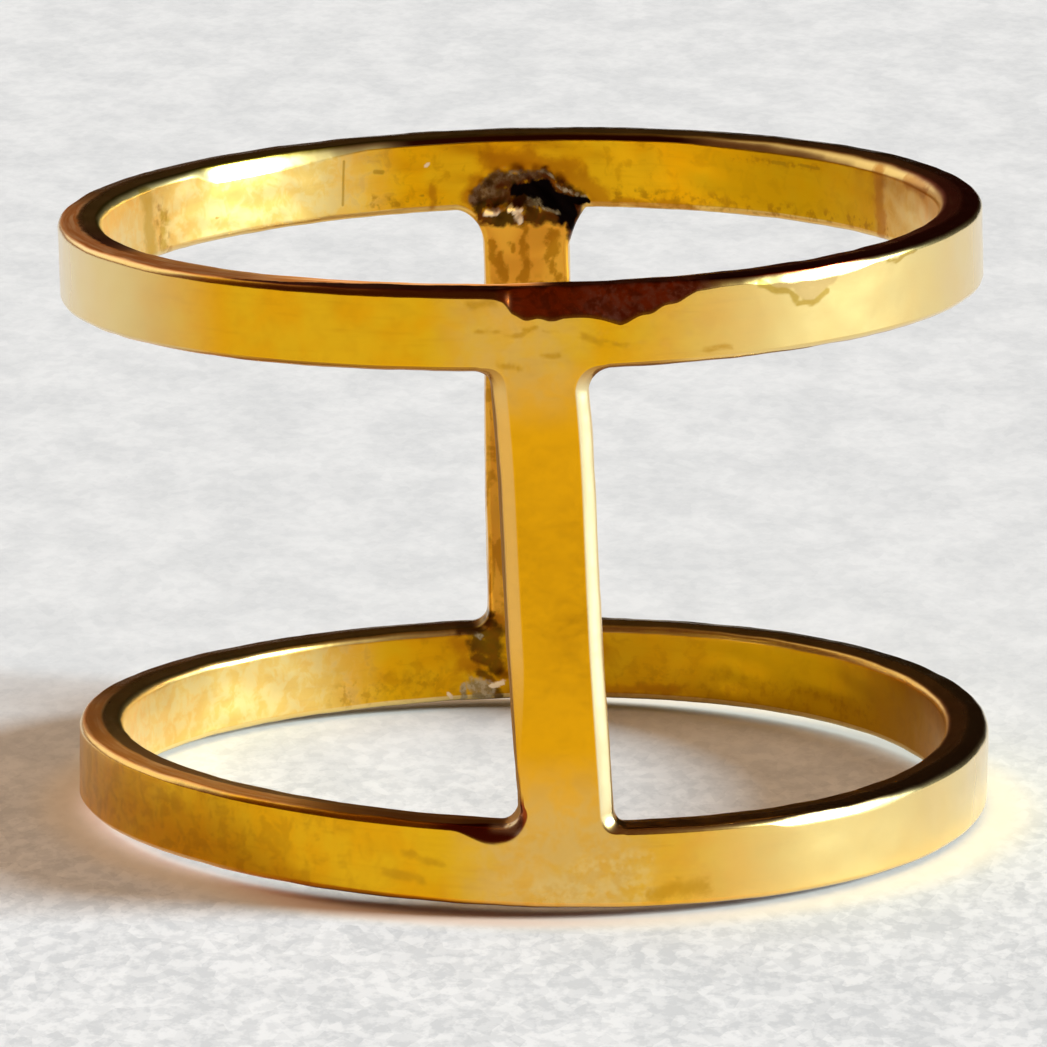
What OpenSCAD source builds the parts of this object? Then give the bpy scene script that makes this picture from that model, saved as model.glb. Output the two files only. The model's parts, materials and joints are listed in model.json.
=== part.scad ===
// Double band ring: two closed bands of flat strip, one above the other,
// held apart by a flat bar at the front and one at the back. All joints are
// soldered, so the ring is one solid. Millimetres, +Z up along the finger.
// The origin is the middle of the lower band's resting rim. The front is -Y.

/* [Finger] */
// Inside diameter of both bands
inner_d = 17.3; // [15:0.1:21]

/* [Bands] */
// Thickness of a band's wall
wall = 0.92; // [0.8:0.02:1.2]
// Height of a band's strip
band_h = 1.65; // [1.4:0.05:2.2]
// Height of the whole ring, measured on the finger axis
ring_h = 12.6; // [10:0.1:16]
// Rounding of the edges on the outside of a band
outer_edge = 0.14; // [0.08:0.01:0.2]
// Rounding of the edges on the finger side of a band
inner_edge = 0.18; // [0.08:0.01:0.2]
// Lean of the upper band towards -X, in degrees
lean = 1.75; // [0.5:0.25:3]
// Distance of the upper band's middle to the -X side of the lower one's
upper_offset = 0.45; // [0.1:0.05:0.8]

/* [Front bar] */
// Width of the front bar at its head, on the upper band
front_head_w = 1.94; // [1.5:0.02:2.4]
// Width of the front bar at its foot, on the lower band
front_foot_w = 1.84; // [1.5:0.02:2.4]
// Sideways place of the front bar's head
front_head_x = -0.15; // [-0.6:0.05:0.6]
// Sideways place of the front bar's foot
front_foot_x = 0.65; // [-0.8:0.05:0.8]
// Radius in the corners of the front joints
front_fillet = 0.3; // [0.2:0.05:0.5]

/* [Back bar] */
// Width of the back bar at its head, on the upper band
back_head_w = 1.86; // [1.5:0.02:2.4]
// Width of the back bar at its foot, on the lower band
back_foot_w = 1.86; // [1.5:0.02:2.4]
// Sideways place of the back bar's head
back_head_x = -0.4; // [-0.6:0.05:0.6]
// Sideways place of the back bar's foot
back_foot_x = -0.15; // [-0.6:0.05:0.6]
// Radius in the corner left of the back bar's head, where solder ran widest
solder_fillet = 0.65; // [0.4:0.05:0.8]
// Radius in the other three corners of the back joints
back_fillet = 0.4; // [0.2:0.05:0.6]

/* [Bar edges] */
// Chamfer along the bars' long edges
bar_chamfer = 0.2; // [0.05:0.01:0.25]

/* [Solder] */
// Height of the solder lump that stands in from the upper back joint
lump_h = 0.12; // [0.05:0.01:0.14]
// Radius of the round that the lump is a cap of
lump_r = 2.5; // [1.5:0.25:2.5]

/* [Hidden] */
$fn = 96;
gold = [0.86, 0.66, 0.2];
pale_gold = [0.9, 0.74, 0.34];
burnt = [0.3, 0.2, 0.12];

inner_r = inner_d / 2;
outer_r = inner_r + wall;
middle_r = inner_r + wall / 2;
lower_mid = band_h / 2;
upper_mid = ring_h - band_h / 2;
rise = upper_mid - lower_mid;
// The bars' faces lie this far under the bands' faces, inside and outside
inset = 0.03;
// A fillet's round dips this share of its radius into the band's rim
dip = 0.08;

// Half section of a band: a strip with its four long edges rounded. The
// profile's X is the distance from the finger axis, and its Y is height.
module band_profile() {
    half = band_h / 2;
    translate([inner_r + inner_edge, -half])
        square([wall - inner_edge - outer_edge, band_h]);
    translate([inner_r, -half + inner_edge])
        square([wall / 2, band_h - 2 * inner_edge]);
    translate([inner_r + wall / 2, -half + outer_edge])
        square([wall / 2, band_h - 2 * outer_edge]);
    for (side = [-1, 1]) {
        translate([inner_r + inner_edge, side * (half - inner_edge)])
            circle(inner_edge);
        translate([outer_r - outer_edge, side * (half - outer_edge)])
            circle(outer_edge);
    }
}

module band() {
    rotate_extrude() band_profile();
}

module lower_band() {
    color(gold)
        translate([0, 0, lower_mid]) band();
}

module upper_band() {
    color(gold)
        translate([-upper_offset, 0, upper_mid])
            rotate([0, -lean, 0]) band();
}

// The wall between the two bands, a leaning tube that the bars are cut from
module between_wall() {
    length = 2 * rise;
    translate([0, 0, lower_mid])
        rotate([0, -atan(upper_offset / rise), 0])
            difference() {
                translate([0, 0, -length / 4])
                    cylinder(h = length, r = outer_r - inset);
                translate([0, 0, -length / 3])
                    cylinder(h = 2 * length, r = inner_r + inset);
            }
}

// Seen from the front: a bar's sides from the middle of one band to the
// middle of the other
module bar_face(foot_x, head_x, foot_w, head_w) {
    polygon([
        [foot_x - foot_w / 2, lower_mid],
        [foot_x + foot_w / 2, lower_mid],
        [head_x + head_w / 2, upper_mid],
        [head_x - head_w / 2, upper_mid]
    ]);
}

// The solder in one corner of a joint, seen from the front. It starts at the
// middle of the bar and of the band, and reaches past the band's rim to the
// end of the round.
module corner_face(half_w, radius) {
    difference() {
        square([half_w + radius, band_h / 2 + radius * (1 - dip)]);
        translate([half_w + radius, band_h / 2 + radius * (1 - dip)])
            circle(radius);
    }
}

// Both corners of one joint. It is turned upside down at a bar's head.
module joint_face(x, z, turn, w, left, right) {
    translate([x, z]) rotate(turn) {
        corner_face(w / 2, right);
        mirror([1, 0]) corner_face(w / 2, left);
    }
}

// Gives a flat outline the depth of one side of the ring: side is -1 at the
// front and 1 at the back
module through_wall(side) {
    depth = 2 * wall;
    translate([0, side * middle_r + depth / 2, 0])
        rotate([90, 0, 0])
            linear_extrude(depth) children();
}

// A long prism round a bar, turned to face straight out from the finger axis.
// Only the chamfers at its four long edges reach into the bar.
module chamfer_prism(side, foot_x, head_x, w) {
    slant = atan((head_x - foot_x) / rise);
    off_centre = (foot_x + head_x + upper_offset) / 2;
    turn = -side * asin(off_centre / middle_r);
    half_w = w / 2 + inset;
    half_t = wall / 2 - inset;
    cut = bar_chamfer + inset;
    translate([foot_x, side * middle_r * cos(turn), lower_mid])
        rotate([0, slant, 0])
            rotate([0, 0, turn])
                translate([0, 0, -wall])
                    linear_extrude(rise + 2 * wall)
                        polygon([
                            [-half_w, -half_t + cut], [-half_w + cut, -half_t],
                            [half_w - cut, -half_t], [half_w, -half_t + cut],
                            [half_w, half_t - cut], [half_w - cut, half_t],
                            [-half_w + cut, half_t], [-half_w, half_t - cut]
                        ]);
}

// One bar: side is -1 at the front and 1 at the back
module bar(side, foot_x, head_x, foot_w, head_w) {
    intersection() {
        between_wall();
        through_wall(side) bar_face(foot_x, head_x, foot_w, head_w);
        chamfer_prism(side, foot_x, head_x, max(foot_w, head_w));
    }
}

// The corners of a bar's two joints, cut from the same wall as the bar
module joints(side, foot_x, head_x, foot_w, head_w, foot_left, foot_right,
              head_left, head_right) {
    intersection() {
        between_wall();
        through_wall(side) {
            joint_face(foot_x, lower_mid, 0, foot_w, foot_left, foot_right);
            joint_face(head_x, upper_mid, 180 + lean, head_w, head_right,
                       head_left);
        }
    }
}

module front_bar() {
    color(pale_gold)
        bar(-1, front_foot_x, front_head_x, front_foot_w, front_head_w);
    color(gold)
        joints(-1, front_foot_x, front_head_x, front_foot_w, front_head_w,
               front_fillet, front_fillet, front_fillet, front_fillet);
}

module back_bar() {
    color(gold)
        bar(1, back_foot_x, back_head_x, back_foot_w, back_head_w);
    color(burnt)
        joints(1, back_foot_x, back_head_x, back_foot_w, back_head_w,
               back_fillet, back_fillet, solder_fillet, back_fillet);
}

// The lump of burnt solder inside the upper back joint: a low round cap that
// stands in from the wall. The rest of its ball is cut off under the surface.
module solder_lump() {
    color(burnt)
        intersection() {
            translate([back_head_x, inner_r + lump_r - lump_h,
                       upper_mid - band_h / 2])
                sphere(lump_r);
            translate([-upper_offset, 0, lower_mid])
                cylinder(h = ring_h, r = inner_r + 2 * inset);
        }
}

module ring() {
    lower_band();
    upper_band();
    front_bar();
    back_bar();
    solder_lump();
}

ring();
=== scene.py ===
# %% [markdown]
# # A soldered ring of two bands
# The real ring is two hoops of flat brass strip, one above the other, held
# apart by a bar at the front and a bar at the back. Somebody sawed, bent,
# soldered and filed it by hand, and then it was gold plated. This notebook
# makes its surface as one closed mesh around the measured model, gives it a
# worn gold finish, and lights it with a low sun from the right.

# %% Load the measured model
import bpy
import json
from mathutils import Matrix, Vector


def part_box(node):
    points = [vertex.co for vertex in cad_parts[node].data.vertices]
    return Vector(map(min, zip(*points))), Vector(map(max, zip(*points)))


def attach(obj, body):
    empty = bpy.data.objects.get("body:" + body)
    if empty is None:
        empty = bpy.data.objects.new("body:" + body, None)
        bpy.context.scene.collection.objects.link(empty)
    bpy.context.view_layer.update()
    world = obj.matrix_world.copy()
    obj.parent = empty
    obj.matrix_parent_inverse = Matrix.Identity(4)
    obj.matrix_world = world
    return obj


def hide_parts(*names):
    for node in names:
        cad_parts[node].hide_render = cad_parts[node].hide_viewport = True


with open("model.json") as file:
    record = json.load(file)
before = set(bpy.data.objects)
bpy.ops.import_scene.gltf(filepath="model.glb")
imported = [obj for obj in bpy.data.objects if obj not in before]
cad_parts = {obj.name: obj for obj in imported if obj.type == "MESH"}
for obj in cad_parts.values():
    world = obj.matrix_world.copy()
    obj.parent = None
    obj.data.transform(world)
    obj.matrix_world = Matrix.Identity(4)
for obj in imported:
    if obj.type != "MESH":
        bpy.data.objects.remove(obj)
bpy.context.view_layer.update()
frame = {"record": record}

# %% [markdown]
# Every size that the measured model holds is read from it and not typed in
# again: the radii and the lean come from the two finger bores, and the wall
# from the box. All lengths below are millimetres until the mesh is made.

# %% Sizes that come from the model
import json
import math

import bmesh
import bpy
import numpy as np
from mathutils import Matrix, Vector

MM = 0.001
mounts = {mount["name"]: mount for mount in frame["record"]["mounts"]}
lower_bore = mounts["lower_finger_bore"]
upper_bore = mounts["upper_finger_bore"]
box_low, box_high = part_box("ring")

inner_r = lower_bore["dims"]["r_mm"]
outer_r = (box_high.y - box_low.y) / 2 / MM
middle_r = (inner_r + outer_r) / 2
wall = outer_r - inner_r
lower_mid = lower_bore["pos_m"][2] / MM
upper_mid = upper_bore["pos_m"][2] / MM
band_h = 2 * lower_mid
ring_h = upper_mid + lower_mid
rise = upper_mid - lower_mid
upper_shift = upper_bore["pos_m"][0] / MM
lean = math.asin(-upper_bore["axis"][0])
print(f"radii {inner_r:.2f} and {outer_r:.2f}, band {band_h:.2f}, height {ring_h:.2f}")

# %% [markdown]
# The bars are not mounts, so their widths and places are named here. Both
# slant a little, because they were soldered in by eye. A place is the
# distance sideways from the middle of the lower band, seen from the front.

# %% Sizes of the bars
BARS = {
    "front": dict(foot_x=0.65, head_x=-0.15, foot_w=1.84, head_w=1.94),
    "back": dict(foot_x=-0.15, head_x=-0.4, foot_w=1.86, head_w=1.86),
}
# The solder in each corner of the joints: how far it reaches along the band,
# how far along the bar, and how straight its edge is, from 0, a round, to 1.
# Left and right are as the photograph shows them.
FILLETS = {
    ("front", "foot", "left"): (0.36, 0.36, 0.0),
    ("front", "foot", "right"): (0.3, 0.34, 0.0),
    ("front", "head", "left"): (0.36, 0.36, 0.0),
    ("front", "head", "right"): (0.42, 0.46, 0.2),
    ("back", "foot", "left"): (0.38, 0.38, 0.0),
    ("back", "foot", "right"): (0.35, 0.35, 0.0),
    ("back", "head", "left"): (0.68, 0.8, 0.0),
    ("back", "head", "right"): (0.42, 0.85, 0.6),
}

# %% [markdown]
# ## A map of the wall
# Think of the ring's wall as a strip of paper rolled into a tube, with two
# windows cut out of it. A point of the wall then has three numbers: how far
# along it lies, how high, and at which radius. One function bends the paper:
# it rolls the strip up, leans the upper band and shifts it to the left. What
# is between the bands goes smoothly from one place to the other. Two tubes and
# two boxes could be joined with booleans instead, but on a map every mark,
# facet and round of solder is simply a place.

# %% Bend the paper
def smooth(value, start, end):
    """0 before start and 1 after end; between them t * t * (3 - 2 * t), where
    t is the share of the way. Where start is the larger, the way is down."""
    t = np.clip((value - start) / (end - start), 0, 1)
    return t * t * (3 - 2 * t)


# The lean and the shift of the upper band grow between these heights
BENDING = band_h + 0.4, ring_h - band_h - 0.7


def upper_share(height):
    """0 on the lower band, 1 on the upper one, and smooth on the bars."""
    return smooth(height, *BENDING)


def bar_middle(bar, height):
    """How far along the wall the middle of a bar lies at a height: the angle
    whose sine is the bar's sideways place over the radius, times the radius."""
    size = BARS[bar]
    part = (height - lower_mid) / rise
    x = size["foot_x"] + (size["head_x"] - size["foot_x"]) * part
    turn = np.arcsin((x - upper_shift * upper_share(height)) / middle_r)
    if bar == "back":
        turn = math.pi - turn
    return turn * middle_r


def bar_half(bar, height):
    """Half of a bar's width at a height."""
    size = BARS[bar]
    part = (height - lower_mid) / rise
    return (size["foot_w"] + (size["head_w"] - size["foot_w"]) * part) / 2


girth = 2 * math.pi * middle_r
print(f"the strip is {girth:.1f} mm long, and the bars stand at "
      f"{bar_middle('front', lower_mid):.2f} and {bar_middle('back', lower_mid):.2f}")

# %% [markdown]
# No hoop bent by hand is truly round or flat. The lower band is slightly
# three-cornered and twisted like a saddle, so it stands on two places, with
# up to 0.17 mm of air between them. A few waves around the ring describe that
# well: a wave with two crests makes an oval, one with three makes the three
# corners. Noise would do for any hoop, but these
# waves follow the outline in the photograph.

# %% How far the bands are out of round
# The whole ring is lifted by this much, because its waves also dip
FLOAT = 0.084
# The middle of the upper band lies this far behind the lower one's
UPPER_BACK = 0.17


def out_of_round(turn, share):
    """Outward and upward error at an angle from the front: sums of cosines
    and sines of two and three times the angle, one set for each band."""
    two, three = 2 * turn, 3 * turn
    lower_out = (-0.024 * np.cos(two) - 0.038 * np.sin(two)
                 + 0.075 * np.sin(three) + 0.122 * np.cos(three))
    upper_out = (-0.074 * np.cos(two) + 0.033 * np.sin(two)
                 - 0.012 * np.sin(three) - 0.011 * np.cos(three))
    lower_up = 0.036 * np.cos(two) - 0.076 * np.sin(two)
    upper_up = 0.020 * np.cos(two) - 0.020 * np.sin(two)
    out = lower_out + (upper_out - lower_out) * share
    up = lower_up + (upper_up - lower_up) * share
    return out, up + FLOAT


around = np.linspace(0, 2 * math.pi, 361)
for level, share in (("lower", 0), ("upper", 1)):
    out, up = out_of_round(around, share)
    print(f"{level} band: {out.min():.2f} to {out.max():.2f} mm outward, "
          f"{up.min():.2f} to {up.max():.2f} mm up")

# %% [markdown]
# Rolled up as it is, a bar's sides would point at the finger's axis, and the
# bar would be narrower inside than outside. A real bar has parallel sides, so
# the paper is stretched a little near a bar, the more so on the finger side.

# %% Place a point of the paper in space
# The stretch is whole up to the first distance beside a bar, and ends at the
# second
BESIDE = 0.2, 1.0


def keep_parallel(along, height, radius):
    """A bar's sides are parallel, and not cut towards the finger: near a bar
    the angle from its middle is scaled by the middle radius over the radius."""
    turned = along / middle_r
    between = (smooth(height, band_h / 2, band_h + 0.3)
               * (1 - smooth(height, ring_h - band_h - 0.3, ring_h - band_h / 2)))
    for bar, full_turn in (("front", 0), ("back", 0), ("back", -girth)):
        middle = bar_middle(bar, height) + full_turn
        off = np.abs(along - middle)
        half = bar_half(bar, height)
        near = 1 - smooth(off, half + BESIDE[0], half + BESIDE[1])
        scale = between * near * (middle_r / radius - 1)
        turned = turned + (along - middle) / middle_r * scale
    return turned


def place(along, height, radius):
    """Rolls the paper up: x = radius * sin, y = -radius * cos, then leans the
    upper band about its middle and shifts it. The front is -Y."""
    share = upper_share(height)
    turn = keep_parallel(along, height, radius)
    out, up_error = out_of_round(turn, share)
    x = (radius + out) * np.sin(turn)
    y = -(radius + out) * np.cos(turn)
    middle = lower_mid + rise * share
    up = height - middle
    tilt = lean * share
    return np.stack([
        upper_shift * share + x * np.cos(tilt) - up * np.sin(tilt),
        y + UPPER_BACK * share,
        middle + x * np.sin(tilt) + up * np.cos(tilt) + up_error,
    ], axis=-1)


for bar in BARS:
    foot, head = place(bar_middle(bar, np.array([lower_mid, upper_mid])),
                       np.array([lower_mid, upper_mid]), outer_r)
    print(f"{bar} bar: foot at {foot.round(2)}, head at {head.round(2)}")

# %% [markdown]
# ## The seams of the mesh
# The wall's surface is cut into four closed belts: the top rim, the bottom
# rim, and the edge of each window. Each belt runs from the middle line of
# the outer face, over the edge, to the middle line of the inner face. The
# middle lines of the bands and bars are the seams where the belts meet, so
# all belts use the same points there and can be welded without a gap. A single
# grid over the whole wall would leave steps around the windows.

# %% Points along the middle lines
# Spacing near the joints and far from them, and how far the joints reach
FINE, COARSE = 0.055, 0.2
NEAR_JOINT = 1.5
# The stretch of the upper band's front that was filed most
FILED = (-1.5, 7.2)
# Places on a line at which the wanted spacing is worked out
SAMPLES = 6001


def graded(start, end, coarse, filed=(0, 0)):
    """Places from start to end that lie FINE apart near both ends and in the
    filed stretch, and coarse apart elsewhere: the sum of 1 / spacing is cut
    into equal steps."""
    travel = np.linspace(start, end, SAMPLES)
    from_fine = np.minimum(np.abs(travel - start), np.abs(travel - end)) - NEAR_JOINT
    if filed != (0, 0):
        from_filed = np.maximum(filed[0] - travel, travel - filed[1])
        from_fine = np.minimum(from_fine, from_filed)
    spacing = FINE + (coarse - FINE) * smooth(from_fine, 0, 2)
    steps = np.concatenate([[0], np.cumsum(np.abs(np.diff(travel)) / spacing[1:])])
    count = int(math.ceil(steps[-1]))
    return np.interp(np.linspace(0, steps[-1], count + 1), steps, travel)


lines = {}
for level, mid, filed in (("lower", lower_mid, (0, 0)), ("upper", upper_mid, FILED)):
    front_at = bar_middle("front", mid)
    back_at = bar_middle("back", mid)
    lines[level, "left"] = graded(back_at - girth, front_at, COARSE, filed)
    lines[level, "right"] = graded(front_at, back_at, COARSE, filed)
for bar in BARS:
    lines[bar] = graded(lower_mid, upper_mid, 1.5 * COARSE)
print({str(name): len(places) for name, places in lines.items()})

# %% [markdown]
# ## The outline of a window
# A window is a rectangle on the paper with a round of solder in each corner.
# Every point of a middle line gets its partner on this outline. Far from a
# corner the partner lies straight across. Near a corner, the stretch of the
# middle line up to the end of the round is shared out over half of the
# round: from 0 to 45 degrees along the band, and from 45 to 90 along the bar.

# %% The round in a corner
def corner_turn(travel, reach):
    """Angle on a corner's round, in radians, for a distance from where two
    middle lines cross: 45 degrees there, and 0 from the reach onwards."""
    return math.pi / 4 * (1 - np.clip(travel / reach, 0, 1))


def corner_round(turn, edge, rim, way, side, fillet):
    """Points and inward directions on a corner's round. With t the turn, the
    round is reach * (1 - sin t) along the band and height * (1 - cos t) along
    the bar, mixed with the straight line between its ends."""
    reach, height, straight = fillet
    part = turn / (math.pi / 2)
    off = reach * ((1 - straight) * (1 - np.sin(turn)) + straight * (1 - part))
    up = height * ((1 - straight) * (1 - np.cos(turn)) + straight * part)
    run = reach * ((1 - straight) * np.cos(turn) + straight * 2 / math.pi)
    climb = height * ((1 - straight) * np.sin(turn) + straight * 2 / math.pi)
    norm = np.hypot(run, climb)
    return np.stack([edge + way * off, rim + side * up, -way * climb / norm, -side * run / norm])


widest = max(FILLETS.values())
print(f"the widest round reaches {widest[0]} mm along the band and {widest[1]} mm along the bar")

# %% [markdown]
# A window has two sides along the bands and two along the bars. The sides of a
# bar slant, so each is worked out from the bar's middle and half its width.

# %% The four sides of a window
def bar_line(bar, height, way, full_turn):
    """Where a bar's side lies; way is +1 where the window lies right of it."""
    return bar_middle(bar, height) + full_turn + way * bar_half(bar, height)


def band_edge(places, mid, side, corners):
    """Outline along a band. side is -1 where the window hangs under the band.
    corners holds a bar's edge, the fillet there, and which way the window is."""
    rim = mid + side * band_h / 2
    out = np.zeros((4, len(places)))
    out[0], out[1], out[3] = places, rim, -side
    for (edge, fillet, way), start in zip(corners, (places[0], places[-1])):
        travel = np.abs(places - start)
        reach = abs(edge + way * fillet[0] - start)
        curved = corner_round(corner_turn(travel, reach), edge, rim, way, side, fillet)
        out = np.where(travel < reach, curved, out)
    return out


def bar_edge(heights, bar, way, fillets, full_turn):
    """Outline along a bar, with the fillets at its foot and head."""
    out = np.zeros((4, len(heights)))
    out[0], out[1], out[2] = bar_line(bar, heights, way, full_turn), heights, -way
    for fillet, side, mid in zip(fillets, (1, -1), (lower_mid, upper_mid)):
        rim = mid + side * band_h / 2
        level = rim + side * fillet[1]
        edge = bar_line(bar, level, way, full_turn)
        travel = np.abs(heights - mid)
        reach = abs(level - mid)
        turn = math.pi / 2 - corner_turn(travel, reach)
        curved = corner_round(turn, edge, rim, way, side, fillet)
        out = np.where(travel < reach, curved, out)
    return out


foot_side = bar_line("front", band_h, 1, 0)
print(f"the front bar's right side starts {foot_side:.2f} mm right of the middle")

# %% [markdown]
# The four sides are strung together into one closed outline. The two outer rims
# are plain, because no solder touches them.

# %% Once around a window or a rim
def window(half):
    """Middle line and outline once around a window: along the upper band to
    the right, down the right bar, back along the lower band and up the left
    bar. Each column is (seam along, seam height, edge along, edge height,
    then the direction from the edge into the metal)."""
    if half == "right":
        sides = (("front", "right", 1, 0), ("back", "right", -1, 0))
    else:
        sides = (("back", "left", 1, -girth), ("front", "left", -1, 0))
    runs = []
    for level, end, mid, side in (("upper", "head", upper_mid, -1),
                                  ("lower", "foot", lower_mid, 1)):
        places = lines[level, half]
        corners = []
        for bar, hand, way, full_turn in sides:
            fillet = FILLETS[bar, end, hand]
            height = mid + side * (band_h / 2 + fillet[1])
            corners.append((bar_line(bar, height, way, full_turn), fillet, way))
        edge = band_edge(places, mid, side, corners)
        seam = np.stack([places, np.full(len(places), mid)])
        runs.append(np.concatenate([seam, edge]))
    for bar, hand, way, full_turn in sides:
        heights = lines[bar]
        fillets = FILLETS[bar, "foot", hand], FILLETS[bar, "head", hand]
        edge = bar_edge(heights, bar, way, fillets, full_turn)
        seam = np.stack([bar_middle(bar, heights) + full_turn, heights])
        runs.append(np.concatenate([seam, edge]))
    top, bottom, left_bar, right_bar = runs
    return np.concatenate([
        top[:, :-1], right_bar[:, :0:-1], bottom[:, :0:-1], left_bar[:, :-1],
    ], axis=1)


def outer_rim(level):
    """Middle line and outline once around an outer rim, in the same columns."""
    places = np.concatenate([lines[level, "left"][:-1], lines[level, "right"][:-1]])
    mid, edge, into = (upper_mid, ring_h, -1) if level == "upper" else (lower_mid, 0, 1)
    same = np.ones(len(places))
    return np.stack([places, mid * same, places, edge * same, 0 * same, into * same])


belts = {
    "top rim": outer_rim("upper"),
    "bottom rim": outer_rim("lower"),
    "left window": window("left"),
    "right window": window("right"),
}
print({name: belt.shape[1] for name, belt in belts.items()})

# %% [markdown]
# ## How each edge was filed
# The edges are not alike. The bands' edges were only broken with a file, the
# front bar's long edges were bevelled, and at the front of the upper band a
# wide sloping facet was filed away, with a ragged lower border. For each
# column the edge is described by how far the rounding reaches down the face,
# how deep it goes into the wall, and how flat it is: 0 is round, 1 a facet. A
# Bevel modifier would give all of them the same width.

# %% Charts of the filed edges
# Reach, depth and flatness, a row for each, of an ordinary edge: on a band, on
# the front bar and on the back bar
PLAIN_EDGE = ((0.12, 0.30, 0.14), (0.12, 0.22, 0.13), (0.4, 0.7, 0.2))
# Reach and depth of an edge on the finger side: on a band and on a bar
FINGER_EDGE = ((0.16, 0.12), (0.14, 0.12))
# The upper band's outer top edge: place along, reach down the face, depth
# into the wall and flatness. The wide dark facet lies between -0.2 and 3.6,
# and the slimmer one that catches the sun between 4.6 and 7.6.
FACET = np.array([
    (-28.0, 0.12, 0.12, 0.0), (-9.0, 0.13, 0.12, 0.2), (-4.6, 0.14, 0.13, 0.3),
    (-1.5, 0.15, 0.13, 0.4), (-0.45, 0.17, 0.15, 0.5), (-0.28, 0.24, 0.18, 0.6),
    (-0.13, 0.50, 0.27, 0.8), (0.1, 0.58, 0.31, 0.85), (0.55, 0.63, 0.34, 0.9),
    (0.85, 0.57, 0.33, 0.9), (1.35, 0.63, 0.35, 0.9), (1.95, 0.74, 0.38, 0.9),
    (2.3, 0.66, 0.36, 0.9), (2.75, 0.48, 0.31, 0.85), (3.15, 0.36, 0.25, 0.8),
    (3.5, 0.20, 0.17, 0.6), (4.0, 0.15, 0.13, 0.5), (4.5, 0.15, 0.10, 0.6),
    (4.8, 0.21, 0.09, 0.8), (5.6, 0.25, 0.09, 0.85), (6.8, 0.27, 0.09, 0.8),
    (7.7, 0.15, 0.10, 0.5), (9.0, 0.12, 0.12, 0.0), (28.0, 0.12, 0.12, 0.0),
])
# The same for its finger side: a steep facet at the back left, between -24
# and -20, and a broad round at the back right, from 15 to 24
INNER_FACET = np.array([
    (-28.4, 0.16, 0.14, 0.4), (-25.0, 0.16, 0.14, 0.4), (-23.9, 0.28, 0.11, 0.8),
    (-22.8, 0.38, 0.13, 0.9), (-20.9, 0.40, 0.14, 0.9), (-20.5, 0.28, 0.13, 0.8),
    (-20.2, 0.15, 0.12, 0.5), (-16.0, 0.16, 0.13, 0.4), (0.0, 0.14, 0.14, 0.3),
    (13.0, 0.16, 0.16, 0.3), (16.0, 0.25, 0.22, 0.4), (23.0, 0.22, 0.20, 0.4),
    (25.0, 0.16, 0.14, 0.4), (28.8, 0.16, 0.14, 0.4),
])
print(f"the dark facet reaches {FACET[:, 1].max()} mm down and {FACET[:, 2].max()} mm in")

# %% [markdown]
# Every column takes its edge from these charts. Two places are changed: the
# scoop beside the front bar's foot and the slim facet on the lower band.

# %% Widths of the edges
def bump(value, middle, reach):
    """A smooth hill of height 1 with its foot at middle - reach and + reach."""
    t = np.clip(1 - np.abs(value - middle) / reach, 0, 1)
    return t * t * (3 - 2 * t)


def edge_sizes(name, belt):
    """Reach on the outer face, depth and flatness there, then the same for
    the finger side, as six rows of numbers."""
    along, height, to_bar = belt[2], belt[3], np.abs(belt[4])
    front = smooth(np.cos(along / middle_r), -0.2, 0.2)
    size = np.zeros((6, belt.shape[1]))
    for row, (on_band, at_front, at_back) in enumerate(PLAIN_EDGE):
        on_the_bar = at_back + (at_front - at_back) * front
        size[row] = on_band + (on_the_bar - on_band) * smooth(to_bar, 0.25, 1)
    for row, (on_band, on_the_bar) in enumerate(FINGER_EDGE):
        size[row + 3] = on_band + (on_the_bar - on_band) * to_bar
    if name == "top rim":
        for row in range(3):
            size[row] = np.interp(along, FACET[:, 0], FACET[:, row + 1])
            size[row + 3] = np.interp(along, INNER_FACET[:, 0], INNER_FACET[:, row + 1])
        ragged = 0.06 * size[2] * np.sin(along * 8.1 + 2 * np.sin(along * 2.3))
        size[0] *= 1 + ragged
    if name == "left window":
        # A round file left a wide scoop beside the front foot and rounded the
        # whole corner, and the bevel of the bar's left edge runs out above it
        scoop = bump(along, -0.86, 0.8) * smooth(height, 2.15, 1.9)
        run_out = front * smooth(to_bar, 0.25, 1) * smooth(height, 5.2, 2.6)
        size[0] -= 0.22 * run_out
        size[1] -= 0.14 * run_out
        size[0] += 0.25 * scoop
        size[1] += 0.24 * scoop
        size[2] *= 1 - bump(along, -0.6, 0.8) * smooth(height, 2.3, 1.9)
    if name == "right window":
        # A slim facet on the lower band's right front, which catches the sun
        slim = smooth(along, 4.6, 5.2) * smooth(along, 9.0, 7.4) * smooth(height, 2.0, 1.7)
        for row, value in enumerate((0.23, 0.09, 0.6)):
            size[row] += (value - size[row]) * slim
    return size


for name, belt in belts.items():
    reach, depth = edge_sizes(name, belt)[:2]
    print(f"{name}: outer edge {reach.min():.2f} to {reach.max():.2f} mm wide, "
          f"{depth.min():.2f} to {depth.max():.2f} mm deep")

# %% [markdown]
# ## From the columns to a surface
# A belt is a grid: its columns go round the window or rim, and its rows go
# over the edge. The rows of the two faces run straight from the seam to the
# start of the edge. The rows of the edge follow a quarter of an ellipse.

# %% Rows over the edge
# Where the rows lie, as shares of the way: on a face, from the seam to the
# edge, on the rounding, and on the flat rim
FACE_STEPS = np.array([0, 0.12, 0.24, 0.36, 0.47, 0.57, 0.67, 0.76, 0.85, 0.93, 0.98])
EDGE_STEPS = np.linspace(0, 1, 7)
RIM_STEPS = np.array([0.04, 0.2, 0.42, 0.5, 0.58, 0.8, 0.96])


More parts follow.
